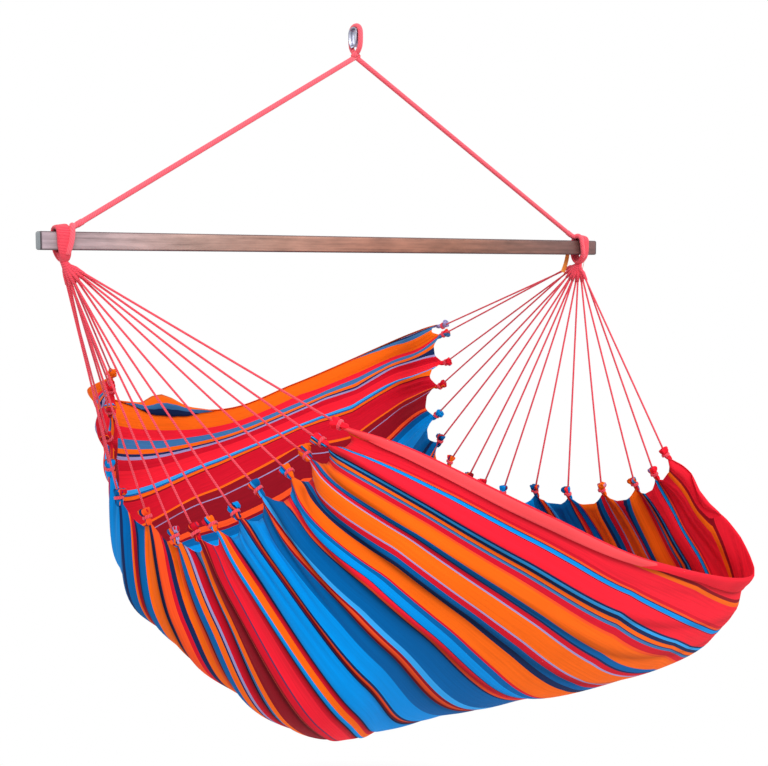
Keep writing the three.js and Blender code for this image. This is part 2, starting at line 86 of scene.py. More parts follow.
def hang(shares):
    """A point of the seat from its shares of the half span, the reach and the drop."""
    across, deep, down = shares
    return Vector((across * SEAT_HALF_SPAN, deep * SEAT_REACH, -BAR_DROP - down * SEAT_DROP))


KNOTS = {
    "left": [hang(shares) for shares in LEFT_KNOT_SHARES],
    "right": [hang(shares) for shares in RIGHT_KNOT_SHARES],
}
CLEWS = {"left": Vector((-CLEW_X, 0, CLEW_Z)), "right": Vector((CLEW_X, 0, CLEW_Z))}


def srgb(text):
    """A colour written as six hex digits, as the linear numbers that a socket takes."""
    parts = [int(text[i:i + 2], 16) / 255 for i in (0, 2, 4)]
    return tuple(c / 12.92 if c <= 0.04045 else ((c + 0.055) / 1.055) ** 2.4 for c in parts) + (1,)


def material(name, **sockets):
    """A new principled material with constant values on its own sockets."""
    made = bpy.data.materials.new(name)
    made.use_nodes = True
    shader = made.node_tree.nodes["Principled BSDF"]
    for socket, value in sockets.items():
        shader.inputs[socket.replace("_", " ")].default_value = value
    return made, made.node_tree, shader


def add(tree, kind, inputs=None, **settings):
    """Adds a shader node with its settings, and fills or links its inputs. A node given as an
    input stands for its first output."""
    made = tree.nodes.new("ShaderNode" + kind)
    for key, value in settings.items():
        setattr(made, key, value)
    for socket, value in (inputs or {}).items():
        if isinstance(value, bpy.types.Node):
            value = value.outputs[0]
        if isinstance(value, bpy.types.NodeSocket):
            tree.links.new(value, made.inputs[socket])
        else:
            made.inputs[socket].default_value = value
    return made


def uv_layer(bm):
    return bm.loops.layers.uv.get("UVMap") or bm.loops.layers.uv.new("UVMap")


def sweep(bm, line, profile, across=None, closed=False, swell=None):
    """Draws a closed profile along a line: the ring is extruded from station to station, and
    swell scales it at each. The loops get a UV of turn and length in metres."""
    uv = uv_layer(bm)
    line = [Vector(p) for p in line]
    count = len(line)
    lengths = [0.0]
    for before, after in zip(line, line[1:]):
        lengths.append(lengths[-1] + (after - before).length)
    tangents = []
    for i in range(count):
        before = line[(i - 1) % count] if closed else line[max(i - 1, 0)]
        after = line[(i + 1) % count] if closed else line[min(i + 1, count - 1)]
        tangents.append((after - before).normalized())
    side = across or tangents[0].orthogonal()
    ring = [bm.verts.new() for _ in profile]
    edges = [bm.edges.new((a, b)) for a, b in zip(ring, ring[1:] + ring[:1])]
    first_edges, place = list(edges), {}
    for i, (point, tangent) in enumerate(zip(line, tangents)):
        if i:
            grown = bmesh.ops.extrude_edge_only(bm, edges=edges)["geom"]
            fresh = {v for v in grown if isinstance(v, bmesh.types.BMVert)}
            onward = []
            for vert in ring:
                onward += [e.other_vert(vert) for e in vert.link_edges if e.other_vert(vert) in fresh]
            ring = onward
            members = set(ring)
            edges = [e for e in grown if isinstance(e, bmesh.types.BMEdge) and set(e.verts) <= members]
        side = (side - side.dot(tangent) * tangent).normalized()
        other = tangent.cross(side)
        size = swell[i] if swell else 1.0
        for j, (a, b) in enumerate(profile):
            ring[j].co = point + (side * a + other * b) * size
            place[ring[j]] = (j / len(ring), lengths[i])
    if closed:
        bmesh.ops.bridge_loops(bm, edges=first_edges + edges)
        whole = lengths[-1] + (line[0] - line[-1]).length
    else:
        bmesh.ops.contextual_create(bm, geom=first_edges)
        bmesh.ops.contextual_create(bm, geom=edges)
        whole = lengths[-1]
    for face in {f for v in place for f in v.link_faces}:
        turns = [place[loop.vert][0] for loop in face.loops]
        runs = [place[loop.vert][1] for loop in face.loops]
        for loop, turn, run in zip(face.loops, turns, runs):
            wrapped = turn + 1 if max(turns) - min(turns) > 0.5 and turn < 0.5 else turn
            far = run + whole if closed and max(runs) - min(runs) > whole / 2 and run < whole / 2 else run
            loop[uv].uv = (wrapped, far)
    return ring


def round_profile(radius, sides):
    angles = [2 * math.pi * i / sides for i in range(sides)]
    return [(radius * math.cos(a), radius * math.sin(a)) for a in angles]


def piece(name, bm, finish, smooth=True):
    """Closes a bmesh as a named object with its normals outward and its finish on it."""
    bmesh.ops.recalc_face_normals(bm, faces=bm.faces[:])
    mesh = bpy.data.meshes.new(name)
    bm.to_mesh(mesh)
    bm.free()
    if smooth:
        mesh.shade_smooth()
    made = bpy.data.objects.new(name, mesh)
    bpy.context.collection.objects.link(made)
    mesh.materials.append(finish)
    return made


def laid_rope(name, bright, shade, strands, lay, depth):
    """Matt rope of yarn: its strands wind round it, with painted shade in the grooves between them and their
    crowns painted lighter.
    """
    made, tree, shader = material(name, Roughness=0.85, Sheen_Weight=0.25, Sheen_Roughness=0.5,
                                  Specular_IOR_Level=0.25)
    uv = add(tree, "UVMap", uv_map="UVMap")
    parts = add(tree, "SeparateXYZ", {0: uv})
    turn = add(tree, "Math", {0: parts.outputs[0], 1: float(strands)}, operation="MULTIPLY")
    along = add(tree, "Math", {0: parts.outputs[1], 1: strands / lay, 2: turn}, operation="MULTIPLY_ADD")
    wound = add(tree, "Math", {0: along}, operation="FRACT")
    hump = add(tree, "Math", {0: wound, 1: math.pi}, operation="MULTIPLY")
    rise = add(tree, "Math", {0: hump}, operation="SINE")
    where = add(tree, "TexCoord")
    wear = add(tree, "TexNoise", {"Vector": where.outputs["Object"], "Scale": 55.0, "Detail": 4.0})
    lit = add(tree, "Math", {0: wear, 1: 0.7, 2: rise}, operation="MULTIPLY_ADD")
    ramp = add(tree, "ValToRGB", {0: lit})
    ramp.color_ramp.elements[0].position, ramp.color_ramp.elements[0].color = 0.25, srgb(shade)
    ramp.color_ramp.elements[1].position, ramp.color_ramp.elements[1].color = 1.0, srgb(bright)
    tree.links.new(ramp.outputs[0], shader.inputs["Base Color"])
    bump = add(tree, "Bump", {"Height": rise, "Distance": depth, "Strength": 0.9})
    tree.links.new(bump.outputs[0], shader.inputs["Normal"])
    return made


cord_cotton = laid_rope("twisted_cotton_cord", "f84c5e", "b02840", 3, CORD_LAY, 0.35 * mm)


def cord_start(side, knot):
    """Where a cord leaves its clew head, in one of the two rows."""
    way = [(point - CLEWS[side]).normalized() for point in KNOTS[side]]
    here = way[knot]
    row = (way[min(knot + 1, LAST_KNOT)] - way[max(knot - 1, 0)]).cross(here).normalized()
    step = CORD_STAGGER * (1 if knot % 2 == 0 else -1)
    return CLEWS[side] + (here * CLEW_REACH + row * step).normalized() * CLEW_REACH


for side in ("left", "right"):
    for knot in range(LAST_KNOT + 1):
        start = cord_start(side, knot)
        inner = CLEWS[side] + (start - CLEWS[side]) * CORD_ROOT_SHARE
        end = KNOTS[side][knot]
        end = end + (start - end).normalized() * CORD_END_GAP
        path = [inner, start] + [start.lerp(end, (step + 1) / CORD_SPANS) for step in range(CORD_SPANS)]
        bm = bmesh.new()
        sweep(bm, path, round_profile(CORD_RADIUS, CORD_SIDES))
        line = piece(f"{side}_line_{knot + 1:02d}", bm, cord_cotton)
        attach(line, "seat")
        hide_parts(f"{side}_cord_{knot + 1:02d}")

# Suspension legs: two parts of the braided 10 mm polyester rope, drawn taut by the load, from the
# throat of the eye down to the loops near the ends of the bar. Each is whipped just above its loop.
ROPE_RADIUS, ROPE_SIDES = 5 * mm, 14
THROAT_DROP, LEG_START_RISE = 57 * mm, 4.5 * mm
LEG_FOOT_X, LEG_FOOT_Z, LEG_SPANS = 590 * mm, -0.3985, 24
# How far above the leg's foot the whipping starts, is full, is full still, and ends, in mm.
WHIPPING_AT, WHIPPING_SWELL = (26, 24, 13, 11), 1.16
# The fine braid is drawn as six coarse ridges, which wind round the rope once in 34 mm.
rope_polyester = laid_rope("braided_polyester_rope", "fb6270", "dc4656", 6, 34 * mm, 0.2 * mm)
for side, sign in (("left", -1), ("right", 1)):
    top = Vector((0, 0, -THROAT_DROP + LEG_START_RISE))
    foot = Vector((sign * LEG_FOOT_X, 0, LEG_FOOT_Z))
    whole = (foot - top).length
    runs = [whole * step / LEG_SPANS for step in range(LEG_SPANS)]
    runs += [whole - back * mm for back in (*WHIPPING_AT, 0)]
    path = [top.lerp(foot, run / whole) for run in runs]
    thick = [1.0] * (LEG_SPANS + 1) + [WHIPPING_SWELL] * 2 + [1.0] * 2
    bm = bmesh.new()
    sweep(bm, path, round_profile(ROPE_RADIUS, ROPE_SIDES), swell=thick)
    leg = piece(f"{side}_leg", bm, rope_polyester)
    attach(leg, "bar")
    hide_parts(f"{side}_leg_rope")

# Rope eye: the same rope laid round the thimble. Its two parts are brought together, crossed and
# bound at the throat, where they take the load of both legs.
THIMBLE_RADIUS, CROWN_POWER = 10 * mm, 0.82
# One side of the bearing line below the crown, across and up in mm, for the strip and for the rope.
STRIP_SIDE = ((10, -12), (9.9, -16), (9.5, -20), (8.7, -24), (7.0, -27.6), (4.4, -30.4), (1.4, -32.2))
ROPE_SIDE = ((10, -13), (10, -19), (9.7, -25), (8.6, -30), (6.2, -34), (3.2, -37), (0.4, -39))
THIMBLE_WALL = 1.7 * mm
ROPE_SEAT = THIMBLE_WALL + 0.6 * mm + ROPE_RADIUS
# At the throat the two parts lie 5.2 mm off its middle, and the binding makes them thicker there.
THROAT_HALF_GAP, THROAT_FOOT_RISE, THROAT_STATIONS = 5.2 * mm, 4 * mm, 12
BOUND_STATIONS, BINDING_SWELL = range(2, 10), 1.18


def eye_line(side_points, rise):
    """A line at a given rise above the thimble's bearing face: up from the near tip, round the
    crown, a little squarer than a half circle, and down to the far tip. side_points are its far
    side, in mm."""
    half = []
    for turn in np.linspace(0, math.pi / 2, 13)[:-1]:
        half.append((THIMBLE_RADIUS * math.sin(turn) ** CROWN_POWER,
                     THIMBLE_RADIUS * (math.cos(turn) ** CROWN_POWER - 1)))
    half.append((THIMBLE_RADIUS, -THIMBLE_RADIUS))
    half += [(y * mm, z * mm) for y, z in side_points]
    bearing = np.array([(-y, z) for y, z in half[:0:-1]] + half)
    step = np.gradient(bearing, axis=0)
    out = np.stack([-step[:, 1], step[:, 0]], axis=1) / np.linalg.norm(step, axis=1, keepdims=True)
    return [Vector((0, y, z)) for y, z in bearing + out * rise]


def throat(top, turn_start):
    """One part of the rope below the thimble, from its foot between the legs up to the eye. It
    goes straight up for a sixth, and then opens out over a quarter turn."""
    foot_z = -THROAT_DROP + THROAT_FOOT_RISE
    points = []
    for i in range(THROAT_STATIONS):
        share = i / THROAT_STATIONS
        turned = turn_start + max(share - 1 / 6, 0) / (5 / 6) * math.pi / 2
        offset = THROAT_HALF_GAP + (abs(top.y) - THROAT_HALF_GAP) * share ** 1.8
        points.append(Vector((offset * math.cos(turned), offset * math.sin(turned),
                              foot_z + (top.z - foot_z) * share)))
    return points


around = eye_line(ROPE_SIDE, ROPE_SEAT)
eye_path = throat(around[0], math.pi) + around + throat(around[-1], 0)[::-1]
bound = [BINDING_SWELL if i in BOUND_STATIONS else 1.0 for i in range(THROAT_STATIONS)]
bm = bmesh.new()
sweep(bm, eye_path, round_profile(ROPE_RADIUS, 16), swell=bound + [1.0] * len(around) + bound[::-1])
eye = piece("rope_eye_loop", bm, rope_polyester)
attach(eye, "hanger")
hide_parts("rope_eye")

# Thimble: a strip of sheet steel rolled to a shallow groove, bent to a teardrop and zinc plated. It
# keeps the hook from wearing the rope. The plating is bluish and cloudy, glossier in some places.
GROOVE_RADIUS, GROOVE_HALF_TURN = 11.8 * mm, math.radians(46)
zinc, tree, shader = material("zinc_plated_steel", Base_Color=srgb("a9abbd"), Metallic=1.0)
where = add(tree, "TexCoord")
dull = add(tree, "TexNoise", {"Vector": where.outputs["Object"], "Scale": 160.0, "Detail": 5.0})
spread = add(tree, "MapRange", {0: dull, 3: 0.30, 4: 0.50})
tree.links.new(spread.outputs[0], shader.inputs["Roughness"])
bump = add(tree, "Bump", {"Height": dull, "Distance": 0.1 * mm, "Strength": 0.3})
tree.links.new(bump.outputs[0], shader.inputs["Normal"])


def groove_profile():
    """Section of the groove, 17 mm across: the inner side out, the wall's thickness back."""
    points = []
    for inward, order in ((0, range(13)), (THIMBLE_WALL, range(12, -1, -1))):
        radius = GROOVE_RADIUS - inward
        for i in order:
            angle = GROOVE_HALF_TURN * (i / 6 - 1)
            points.append((radius * math.sin(angle), radius * math.cos(angle) - GROOVE_RADIUS))
    return points


bm = bmesh.new()
sweep(bm, eye_line(STRIP_SIDE, 0), groove_profile(), across=Vector((1, 0, 0)))
thimble = piece("thimble_strip", bm, zinc)
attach(thimble, "hanger")
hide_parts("thimble")

# Spreader bar: one length of reddish brown hardwood, 1300 x 22 x 32 mm, planed, with its edges and
# ends rounded over. The oil gives it a low gloss and lets the fibres show as long streaks.
BAR_SIZE = Vector((1.300, 0.022, 0.032))
BAR_HALF, BAR_EDGE = BAR_SIZE.x / 2, 4 * mm
wood, tree, shader = material("oiled_hardwood", Roughness=0.45, Specular_IOR_Level=0.4)
where = add(tree, "TexCoord")
fibre = add(tree, "Mapping", {"Vector": where.outputs["Object"], "Scale": (5.0, 160.0, 160.0)})
grain = add(tree, "TexNoise", {"Vector": fibre, "Scale": 1.0, "Detail": 6.0, "Roughness": 0.65,
                               "Distortion": 0.4})
patch = add(tree, "Mapping", {"Vector": where.outputs["Object"], "Scale": (16.0, 60.0, 60.0)})
cloud = add(tree, "TexNoise", {"Vector": patch, "Scale": 1.0, "Detail": 4.0})
both = add(tree, "Math", {0: cloud, 1: 0.9, 2: grain}, operation="MULTIPLY_ADD")
streaks = add(tree, "MapRange", {0: both, 1: 0.66, 2: 1.22, 3: 0.52, 4: 1.22})
# Along its length the bar's colour carries painted light: a painted grey-mauve reflection at its left end and
# painted shade darkening it towards its right end, with its redder wood tone in between.
spot = add(tree, "SeparateXYZ", {0: where.outputs["Object"]})
span = add(tree, "MapRange", {0: spot.outputs[0], 1: -BAR_HALF, 2: BAR_HALF})
wood_tone_and_painted_light = add(tree, "ValToRGB", {0: span})
stops = wood_tone_and_painted_light.color_ramp.elements
stops[0].position, stops[0].color = 0.0, srgb("a6939b")
stops[1].position, stops[1].color = 1.0, srgb("6b4c4a")
for at, tint in ((0.10, "b39a9a"), (0.22, "b39186"), (0.36, "ab8070"), (0.52, "a87360"), (0.68, "92624f"),
                 (0.84, "7c564b")):
    stop = stops.new(at)
    stop.color = srgb(tint)
streaks_and_painted_light = add(tree, "Mix", {0: 1.0, 6: wood_tone_and_painted_light, 7: streaks}, data_type="RGBA", blend_type="MULTIPLY")
# Painted shade darkens the top and bottom faces and the rounded edges along them, a dark band rings each end
# on its rounded edge, and the sawn ends are grey.
height = add(tree, "Math", {0: spot.outputs[2], 1: BAR_DROP}, operation="ADD")
above = add(tree, "Math", {0: height}, operation="ABSOLUTE")
edge = add(tree, "MapRange", {0: above, 1: 13 * mm, 2: 15.6 * mm})
painted_edge_shade = add(tree, "Mix", {0: edge, 6: streaks_and_painted_light.outputs[2], 7: srgb("4a363b")}, data_type="RGBA")
outward = add(tree, "Math", {0: spot.outputs[0]}, operation="ABSOLUTE")
arris = add(tree, "MapRange", {0: outward, 1: BAR_HALF - 5.5 * mm, 2: BAR_HALF - 3.5 * mm})
ringed = add(tree, "Mix", {0: arris, 6: painted_edge_shade.outputs[2], 7: srgb("3c3036")}, data_type="RGBA")
end_grain = add(tree, "MapRange", {0: outward, 1: BAR_HALF - 2.2 * mm, 2: BAR_HALF - mm})
ended = add(tree, "Mix", {0: end_grain, 6: ringed.outputs[2], 7: srgb("8b9296")}, data_type="RGBA")
tree.links.new(ended.outputs[2], shader.inputs["Base Color"])
bump = add(tree, "Bump", {"Height": grain, "Distance": 0.3 * mm, "Strength": 0.4})
tree.links.new(bump.outputs[0], shader.inputs["Normal"])

bm = bmesh.new()
bmesh.ops.create_cube(bm, size=1)
bmesh.ops.scale(bm, vec=BAR_SIZE, verts=bm.verts[:])
bmesh.ops.translate(bm, vec=(0, 0, -BAR_DROP), verts=bm.verts[:])
bmesh.ops.bevel(bm, geom=bm.edges[:], offset=BAR_EDGE, affect="EDGES", segments=4, profile=0.5, material=-1)
bar = piece("bar_of_hardwood", bm, wood)
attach(bar, "bar")
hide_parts("spreader_bar")

# Bar loops: the rope's own ends laid round the bar and whipped over with thin twine, a flat band
# 24 mm wide on each end of the bar, drawn to a point where the clew hangs. The twine gives it fine
# matt ribs, drawn 2.4 mm apart, coarser than real ones, so that they show.
LOOP_WIDTH, LOOP_THICK, TWINE_PITCH = 24 * mm, 8 * mm, 2.4 * mm
whipping, tree, shader = material("whipped_rope", Roughness=0.85, Sheen_Weight=0.25, Specular_IOR_Level=0.25)
uv = add(tree, "UVMap", uv_map="UVMap")
parts = add(tree, "SeparateXYZ", {0: uv})
turns = add(tree, "Math", {0: parts.outputs[1], 1: 2 * math.pi / TWINE_PITCH}, operation="MULTIPLY")
rib = add(tree, "Math", {0: turns}, operation="SINE")
lift = add(tree, "MapRange", {0: rib, 1: -1.0, 2: 1.0})
# Painted shade: the twine is coloured darker in the grooves between its ribs and lighter on their tops.
tone = add(tree, "Mix", {0: lift, 6: srgb("d42c42"), 7: srgb("ff5464")}, data_type="RGBA")
tree.links.new(tone.outputs[2], shader.inputs["Base Color"])
bump = add(tree, "Bump", {"Height": lift, "Distance": 0.6 * mm, "Strength": 0.8})
tree.links.new(bump.outputs[0], shader.inputs["Normal"])


def smooth_line(points, shares):
    """Points at the given shares of a smooth line through the listed points."""
    points = np.asarray(points, float)
    held = np.vstack([2 * points[0] - points[1], points, 2 * points[-1] - points[-2]])
    place = np.asarray(shares, float) * (len(points) - 1)
    low = np.clip(place.astype(int), 0, len(points) - 2)
    t = (place - low)[:, None]
    p0, p1, p2, p3 = (held[low + i] for i in range(4))
    m1, m2 = (p2 - p0) / 2, (p3 - p1) / 2
    return ((2 * t ** 3 - 3 * t ** 2 + 1) * p1 + (t ** 3 - 2 * t ** 2 + t) * m1
            + (3 * t ** 2 - 2 * t ** 3) * p2 + (t ** 3 - t ** 2) * m2)


def band_profile(width, thick):
    """Section of a flat band with half-round edges."""
    half, edge, points = width / 2, thick / 2, []
    for x, start in ((half - edge, -90), (-half + edge, 90)):
        for i in range(7):
            angle = math.radians(start + i * 30)
            points.append((x + edge * math.cos(angle), edge * math.sin(angle)))
    return points


# One side of the band, from the point below the bar up to its top: how far before the bar's middle,
# how far above it, how far outward, all in mm, and its width as a share.
BAND_SIDE = (
    (0, -33.5, -2, 0.66), (6.5, -31.5, -1.5, 0.72), (12, -25, -0.5, 0.84), (15.2, -16, 1, 0.94),
    (15.6, -6, 2, 1.0), (15.6, 7, 2.5, 1.0), (14.8, 16, 3, 1.0), (10, 22.5, 3, 1.0), (0, 24.5, 3, 1.0),
)
# The last turn of each leg, over the bar and down in front of the band: outward, deep and up, in mm.
LEG_TURN = (
    (588, -3, -395.5), (591.5, -11, -393.5), (594, -18, -399), (595, -20, -409), (597, -20, -421),
    (600, -18.5, -433), (602.5, -14, -442.5),
)
BAND_STATIONS, TURN_STATIONS, LEG_OVERLAP = 56, 33, 14 * mm
for side, sign in (("left", -1), ("right", 1)):
    rows = [(-y, z, x, width) for y, z, x, width in BAND_SIDE] + list(BAND_SIDE[-2:0:-1])
    rows = smooth_line(rows + rows[:1], np.linspace(0, 1, BAND_STATIONS + 1))[:-1]
    ring = [Vector((sign * (CLEW_X + x * mm), y * mm, z * mm - BAR_DROP)) for y, z, x, _ in rows]
    bm = bmesh.new()
    sweep(bm, ring, band_profile(LOOP_WIDTH, LOOP_THICK), across=Vector((1, 0, 0)), closed=True,
          swell=[row[3] for row in rows])
    loop = piece(f"{side}_whipped_loop", bm, whipping)
    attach(loop, "bar")
    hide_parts(f"{side}_bar_loop")
    foot = Vector((sign * LEG_FOOT_X, 0, LEG_FOOT_Z))
    held = [tuple(foot + (Vector((0, 0, -THROAT_DROP)) - foot).normalized() * LEG_OVERLAP)]
    held += [(sign * x * mm, y * mm, z * mm) for x, y, z in LEG_TURN]
    turn = [Vector(point) for point in smooth_line(held, np.linspace(0, 1, TURN_STATIONS))]
    bm = bmesh.new()
    sweep(bm, turn, round_profile(ROPE_RADIUS, ROPE_SIDES))
    leg_turn = piece(f"{side}_leg_turn", bm, rope_polyester)
    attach(leg_turn, "bar")

# Clew heads: the sixteen cords of a side are gathered into one thick bundle, which hangs in the
# loop, and fan out below it. They are drawn fatter in the bundle, so that they close up.
# Each cord has five stations there: three by how far they lie below the clew in mm and by their
# share of the spread, and two on the cord's own line, of which the last is past the head.
BUNDLE, BUNDLE_FOOT, HEAD_TAIL = ((-17, 0.06), (2, 0.15), (13, 0.30)), 0.70, 7 * mm
BUNDLE_SWELLS = (1.3, 1.95, 2.1, 2.0, 1.35)
for side in ("left", "right"):
    clew = CLEWS[side]
    starts = [cord_start(side, knot) for knot in range(LAST_KNOT + 1)]
    axis = (sum(starts, Vector()) / len(starts) - clew).normalized()
    bm = bmesh.new()
    for start in starts:
        way = start - clew
        spread = way - way.dot(axis) * axis
        points = [clew + axis * below * mm + spread * part for below, part in BUNDLE]
        points += [clew + way * BUNDLE_FOOT, start + way.normalized() * HEAD_TAIL]
        sweep(bm, points, round_profile(CORD_RADIUS, CORD_SIDES), swell=BUNDLE_SWELLS)
    head = piece(f"{side}_clew_binding", bm, cord_cotton)
    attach(head, "seat")
    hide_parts(f"{side}_clew_head")

# Seat cloth: one piece of striped cotton, woven in the width and hemmed front and back. It hangs in
# a deep fold from the knots, and each end is gathered into sixteen tufts.
# Five places on each line of the bare hung sheet, left to right, as shares like the knots'. The
# lines belong to every second knot from the front, and the last one to the last knot.
CLOTH_ROW_SHARES = [
    [(-0.30, -0.895, 0.345), (0.07, -1.06, 0.465), (0.58, -0.985, 0.595), (1.305, -0.74, 0.70),
     (1.11, -0.615, 0.50)],
    [(-0.505, -0.84, 0.425), (-0.12, -0.995, 0.605), (0.515, -0.855, 0.815), (1.295, -0.525, 0.86),
     (1.135, -0.42, 0.655)],
    [(-0.58, -0.72, 0.525), (-0.36, -0.82, 0.695), (0.125, -0.565, 0.885), (1.165, -0.15, 0.875),
     (1.045, -0.105, 0.685)],
    [(-0.665, -0.54, 0.575), (-0.42, -0.685, 0.82), (0.075, -0.095, 0.97), (0.88, 0.10, 0.83),
     (0.84, 0.14, 0.67)],
    [(-0.68, -0.31, 0.67), (-0.495, -0.295, 0.86), (0.02, 0.14, 0.96), (0.68, 0.30, 0.79),
     (0.725, 0.34, 0.64)],
    [(-0.775, 0.095, 0.67), (-0.525, 0.28, 0.735), (0.01, 0.52, 0.77), (0.555, 0.675, 0.63),
     (0.665, 0.615, 0.525)],
    [(-0.59, 0.76, 0.575), (-0.145, 1.02, 0.545), (0.37, 1.13, 0.485), (0.735, 1.06, 0.39),
     (0.805, 0.88, 0.355)],
    [(-0.58, 1.05, 0.325), (0.01, 1.255, 0.39), (0.43, 1.365, 0.345), (0.82, 1.23, 0.25),
     (0.915, 1.06, 0.21)],
]
COLUMNS_A_KNOT, ROWS, STRIPE_LENGTH = 22, 124, 1.500
# The cloth begins 6 mm from each knot, and between two knots its edge dips by 33 mm, or by about
# half of that at the first knots of the right end.
TUFT_ROOT, SCALLOP_DEPTH = 6 * mm, 33 * mm
RIGHT_DIP_KNOTS, RIGHT_DIP_SHARES = (6, 11), (0.55, 1.0)


def row_share(knots):
    """Where a line through a place along the knots lies among the rows above, from 0 to 1."""
    last = len(CLOTH_ROW_SHARES) - 1
    turn = 2 * (last - 1)
    return np.where(knots <= turn, knots / 2, last - 1 + (knots - turn) / (LAST_KNOT - turn)) / last


def hung_cloth(knots, rows):
    """The bare hung sheet: for each place along the knots, one line from end to end by length."""
    edges = [smooth_line(KNOTS["left"], knots / LAST_KNOT), smooth_line(KNOTS["right"], knots / LAST_KNOT)]
    inner = [smooth_line([hang(row[c]) for row in CLOTH_ROW_SHARES], row_share(knots))
             for c in range(len(CLOTH_ROW_SHARES[0]))]
    stations = np.stack([edges[0], *inner, edges[1]], axis=1)
    grid = np.zeros((len(knots), rows, 3))
    reach = np.zeros((len(knots), rows))
    fine = np.linspace(0, 1, 241)
    for i, knot in enumerate(knots):
        line = smooth_line(stations[i], fine)
        run = np.concatenate([[0], np.cumsum(np.linalg.norm(np.diff(line, axis=0), axis=1))])
        dip = abs(math.sin(math.pi * knot))
        right_depth = SCALLOP_DEPTH * np.interp(knot, RIGHT_DIP_KNOTS, RIGHT_DIP_SHARES)
        trims = [(TUFT_ROOT + dip * depth) / STRIPE_LENGTH for depth in (SCALLOP_DEPTH, right_depth)]
        wanted = (trims[0] + np.linspace(0, 1, rows) * (1 - sum(trims))) * run[-1]
        grid[i] = np.stack([np.interp(wanted, run, line[:, axis]) for axis in range(3)], axis=1)
        reach[i] = np.minimum(wanted, run[-1] - wanted)
    return grid, reach


def sheet_normals(grid):
    """The way off the sheet into the seat, at each of its points."""
    onward = np.gradient(grid, axis=0)
    along = np.gradient(grid, axis=1)
    normal = np.cross(along, onward)
    return normal / np.linalg.norm(normal, axis=2, keepdims=True)


columns = COLUMNS_A_KNOT * LAST_KNOT + 1
knots = np.linspace(0, LAST_KNOT, columns)
grid, reach = hung_cloth(knots, ROWS)
along = np.linspace(0, 1, ROWS)[None, :]
offset = (knots - np.round(knots))[:, None]
nearest = (np.round(knots) * COLUMNS_A_KNOT).astype(int)
open_run = np.maximum(reach - TUFT_ROOT, 0)
# Near a knot the cloth is drawn in to the knot's own line, less and less over a few centimetres.
GATHER_SHARE, GATHER_RUN = 0.88, 22 * mm
gather = GATHER_SHARE * np.exp(-(open_run + abs(offset) * 10 * mm) / GATHER_RUN)
grid = grid + (grid[nearest] - grid) * gather[:, :, None]
inward = sheet_normals(grid)
# Between two knots the sheet rises in a pleat, which is a quarter as deep in the middle of the
# seat, and a slow ripple runs through all of it.
PLEAT_DEPTH, MIDDLE_SHARE, RIPPLE = 14 * mm, 0.25, 1.6 * mm
fade = MIDDLE_SHARE + (1 - MIDDLE_SHARE) * (2 * along - 1) ** 4
sag = abs(np.sin(math.pi * knots))[:, None] ** (1.1 + 0.9 * (1 - fade))
lift = PLEAT_DEPTH * fade * sag
lift = lift + RIPPLE * np.sin(5.3 * knots[:, None] + 7 * along) * np.sin(math.pi * along)

# Short creases spread from each tuft, six to a knot, and run out in the sheet. Only where they
# are deep is painted shade put in them.
CREASE_SEATS, CREASE_DEPTH = (-0.42, -0.25, -0.08, 0.10, 0.27, 0.43), 7.5 * mm
crease_shade = np.zeros_like(reach)
chance = np.random.default_rng(11)
for run in (along * STRIPE_LENGTH, (1 - along) * STRIPE_LENGTH):
    for knot in range(LAST_KNOT + 1):
        for seat in CREASE_SEATS:
            place = knot + seat + chance.uniform(-0.05, 0.05) + chance.uniform(-0.5, 0.5) * run
            wide = chance.uniform(0.055, 0.085) + 0.10 * run
            long_run, deep = chance.uniform(0.06, 0.26), chance.uniform(0.3, 1.0)
            crease = np.exp(-((knots[:, None] - place) / wide) ** 2)
            crease = crease * (0.4 + 0.6 * np.minimum(run / 0.03, 1)) * np.exp(-(run / long_run) ** 1.5)
            lift = lift + CREASE_DEPTH * deep * crease
            crease_shade = crease_shade + deep * crease
crease_shade = 1.5 * np.maximum(crease_shade - 0.6, 0)
# Long folds run from the left tufts down the outside, from one of these places along the knots to
# the next. Each swells out towards its lower side and drops into the next one in a sharp line of
# painted shade, which is faint at the first, and painted shade also darkens its upper side below that line.
LONG_FOLDS = (0.40, 1.02, 1.66, 2.42, 3.17, 3.88, 4.82, 5.64, 6.10, 6.92, 7.60, 8.30, 9.00, 9.62, 10.30, 11.2)
FOLD_DEPTH, FOLD_LINE = 11.0 * mm, 0.08
fold_reach = np.interp(along, (0, 0.05, 0.22, 0.42, 0.65, 0.85, 1.0), (0.3, 0.9, 1.0, 0.65, 0.3, 0.3, 0.5))
for upper, lower in zip(LONG_FOLDS, LONG_FOLDS[1:]):
    dark = (0.25 if upper == LONG_FOLDS[0] else 1.0) * fold_reach
    place = np.clip((knots[:, None] - upper) / (lower - upper), 0, 1)
    within = (knots[:, None] >= upper) & (knots[:, None] < lower)
    swell_out = place ** 0.8 * (1 - place ** 9)
    lift = lift - FOLD_DEPTH * (lower - upper) * swell_out * within * fold_reach
    crease_shade = crease_shade + 1.05 * dark * np.exp(-((knots[:, None] - upper) / FOLD_LINE) ** 2)
    crease_shade = crease_shade + 0.5 * dark * np.exp(-place * 5) * within

